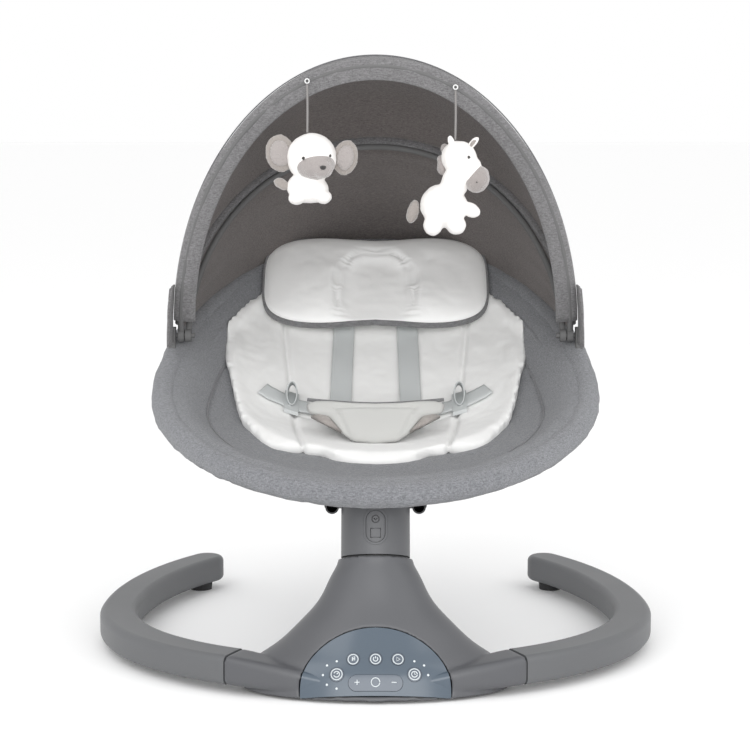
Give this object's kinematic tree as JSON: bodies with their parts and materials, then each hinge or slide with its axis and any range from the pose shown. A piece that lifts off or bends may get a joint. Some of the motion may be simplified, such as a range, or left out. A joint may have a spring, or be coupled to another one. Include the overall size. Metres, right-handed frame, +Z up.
{
  "type": "baby swing",
  "caption": "Electric infant swing: C-shaped floor base with drive stem, tilted swivel hub, padded egg-shaped seat with harness, folding canopy and hanging soft toys.",
  "frame": {"origin": "on the floor, under the middle of the swing's bounding box", "axes": "+Z up, +Y from the control panel towards the head end, +X to the right seen from the panel side"},
  "size_m": [0.6, 0.5951, 0.6355],
  "materials": {
    "casing_grey": "satin",
    "leg_grey": "satin",
    "hub_grey": "satin",
    "bracket_black": "satin",
    "panel_slate": "gloss",
    "key_slate": "gloss",
    "light_white": "gloss",
    "foot_rubber": "matte",
    "steel": "satin",
    "zinc": "satin",
    "board_green": "satin",
    "copper_coil": "satin",
    "inner_plastic": "matte",
    "tube_black": "satin",
    "grey_melange": "matte",
    "white_fabric": "matte",
    "pillow_fabric": "matte",
    "strap_webbing": "matte",
    "canopy_fabric": "matte",
    "canopy_lining": "matte",
    "toy_plush": "matte",
    "string": "matte",
    "buckle_plastic": "satin"
  },
  "bodies": {
    "base": {"base_housing": "casing_grey", "base_bottom_cover": "inner_plastic", "left_leg": "leg_grey", "right_leg": "leg_grey", "front_feet": "foot_rubber", "leg_feet": "foot_rubber", "panel_lens": "panel_slate", "key_mat": "foot_rubber", "indicator_lights": "light_white", "control_board": "board_green", "speaker": "inner_plastic", "drive_coil": "copper_coil", "coil_bracket": "inner_plastic", "dc_socket": "inner_plastic", "bearing_carrier": "inner_plastic", "shaft_bearings": "steel", "dust_ring": "foot_rubber", "housing_screws": "zinc"},
    "power_key": {"power_key": "key_slate"},
    "music_key": {"music_key": "key_slate"},
    "play_key": {"play_key": "key_slate"},
    "speed_key": {"speed_key": "key_slate"},
    "timer_key": {"timer_key": "key_slate"},
    "volume_rocker": {"volume_rocker": "key_slate"},
    "hub": {"hub_shell": "hub_grey", "swing_shaft": "steel", "encoder_disc": "inner_plastic", "magnet_arm": "inner_plastic", "drive_magnet": "steel", "retaining_ring": "steel", "button_surround": "hub_grey", "button_spring": "steel"},
    "release_button": {"release_button": "hub_grey"},
    "seat": {"seat_bracket": "bracket_black", "support_tubes": "tube_black", "rim_front_tube": "tube_black", "rim_rear_tube": "tube_black", "rim_cover": "grey_melange", "seat_cover": "grey_melange", "seat_liner": "white_fabric", "head_pillow": "pillow_fabric", "shoulder_strap_left": "strap_webbing", "shoulder_strap_right": "strap_webbing", "waist_straps": "strap_webbing", "strap_adjusters": "buckle_plastic", "crotch_pad": "white_fabric", "buckle_housing": "buckle_plastic", "canopy_pivots": "inner_plastic", "canopy_tabs": "canopy_fabric"},
    "buckle_button": {"buckle_button": "buckle_plastic"},
    "canopy_mid": {"mid_bow": "inner_plastic", "canopy_rear_panel": "canopy_fabric"},
    "canopy_front": {"front_bow": "inner_plastic", "canopy_front_panel": "canopy_fabric"},
    "mouse_hanger": {"mouse_hook": "steel"},
    "horse_hanger": {"horse_hook": "steel"},
    "mouse": {"mouse_toy": "toy_plush", "mouse_cord": "string"},
    "horse": {"horse_toy": "toy_plush", "horse_cord": "string"}
  },
  "joints": [
    {"name": "swing", "type": "hinge", "parent": "base", "child": "hub", "pos_m": [0, -0.194, 0.122], "axis": [0, 0.3256, 0.9455], "range_deg": [-25, 25]},
    {"name": "release_press", "type": "slide", "parent": "hub", "child": "release_button", "axis": [0, 0.9455, -0.3256], "range_m": [0, 0.003], "stiffness_N_per_m": 1200, "springref_m": -0.001},
    {"name": "seat_lift_off", "type": "slide", "parent": "hub", "child": "seat", "axis": [0, 0.3256, 0.9455], "range_m": [0, 0.07]},
    {"name": "buckle_press", "type": "slide", "parent": "seat", "child": "buckle_button", "axis": [0, -0.766, 0.6428], "range_m": [0, 0.0024], "stiffness_N_per_m": 900, "springref_m": -0.001},
    {"name": "canopy_fold", "type": "hinge", "parent": "seat", "child": "canopy_mid", "pos_m": [0, 0.026, 0.326], "axis": [-1, 0, 0], "range_deg": [0, 20], "deforming": ["canopy_rear_panel"]},
    {"name": "front_bow_fold", "type": "hinge", "parent": "canopy_mid", "child": "canopy_front", "pos_m": [0, 0.026, 0.326], "axis": [-1, 0, 0], "range_deg": [0, 25], "deforming": ["canopy_front_panel"]},
    {"name": "mouse_hanger_tilt", "type": "hinge", "parent": "canopy_front", "child": "mouse_hanger", "pos_m": [-0.071, -0.08877, 0.60399], "axis": [-1, 0, 0], "range_deg": [-45, 0]},
    {"name": "horse_hanger_tilt", "type": "hinge", "parent": "canopy_front", "child": "horse_hanger", "pos_m": [0.083, -0.08636, 0.59775], "axis": [-1, 0, 0], "range_deg": [-45, 0]},
    {"name": "mouse_swing", "type": "hinge", "parent": "mouse_hanger", "child": "mouse", "pos_m": [-0.071, -0.08877, 0.60399], "axis": [0, 1, 0], "range_deg": [-18, 18]},
    {"name": "horse_swing", "type": "hinge", "parent": "horse_hanger", "child": "horse", "pos_m": [0.083, -0.08636, 0.59775], "axis": [0, 1, 0], "range_deg": [-18, 18]},
    {"name": "power_key_press", "type": "slide", "parent": "base", "child": "power_key", "axis": [0, 0.8599, -0.5105], "range_m": [0, 0.0008], "stiffness_N_per_m": 800, "springref_m": -0.001},
    {"name": "music_key_press", "type": "slide", "parent": "base", "child": "music_key", "axis": [0, 0.8599, -0.5105], "range_m": [0, 0.0008], "stiffness_N_per_m": 800, "springref_m": -0.001},
    {"name": "play_key_press", "type": "slide", "parent": "base", "child": "play_key", "axis": [0, 0.8599, -0.5105], "range_m": [0, 0.0008], "stiffness_N_per_m": 800, "springref_m": -0.001},
    {"name": "speed_key_press", "type": "slide", "parent": "base", "child": "speed_key", "axis": [0, 0.8599, -0.5105], "range_m": [0, 0.0008], "stiffness_N_per_m": 800, "springref_m": -0.001},
    {"name": "timer_key_press", "type": "slide", "parent": "base", "child": "timer_key", "axis": [0, 0.8599, -0.5105], "range_m": [0, 0.0008], "stiffness_N_per_m": 800, "springref_m": -0.001},
    {"name": "volume_rock", "type": "hinge", "parent": "base", "child": "volume_rocker", "pos_m": [0, -0.28404, 0.01688], "axis": [0, 0.5105, 0.8599], "range_deg": [-1.5, 1.5], "stiffness_Nm_per_rad": 0.6}
  ],
  "couplings": [
    {"joint": "front_bow_fold", "follows": "canopy_fold", "ratio": 1.25},
    {"joint": "mouse_hanger_tilt", "follows": "canopy_fold", "ratio": -2.25},
    {"joint": "horse_hanger_tilt", "follows": "canopy_fold", "ratio": -2.25}
  ]
}
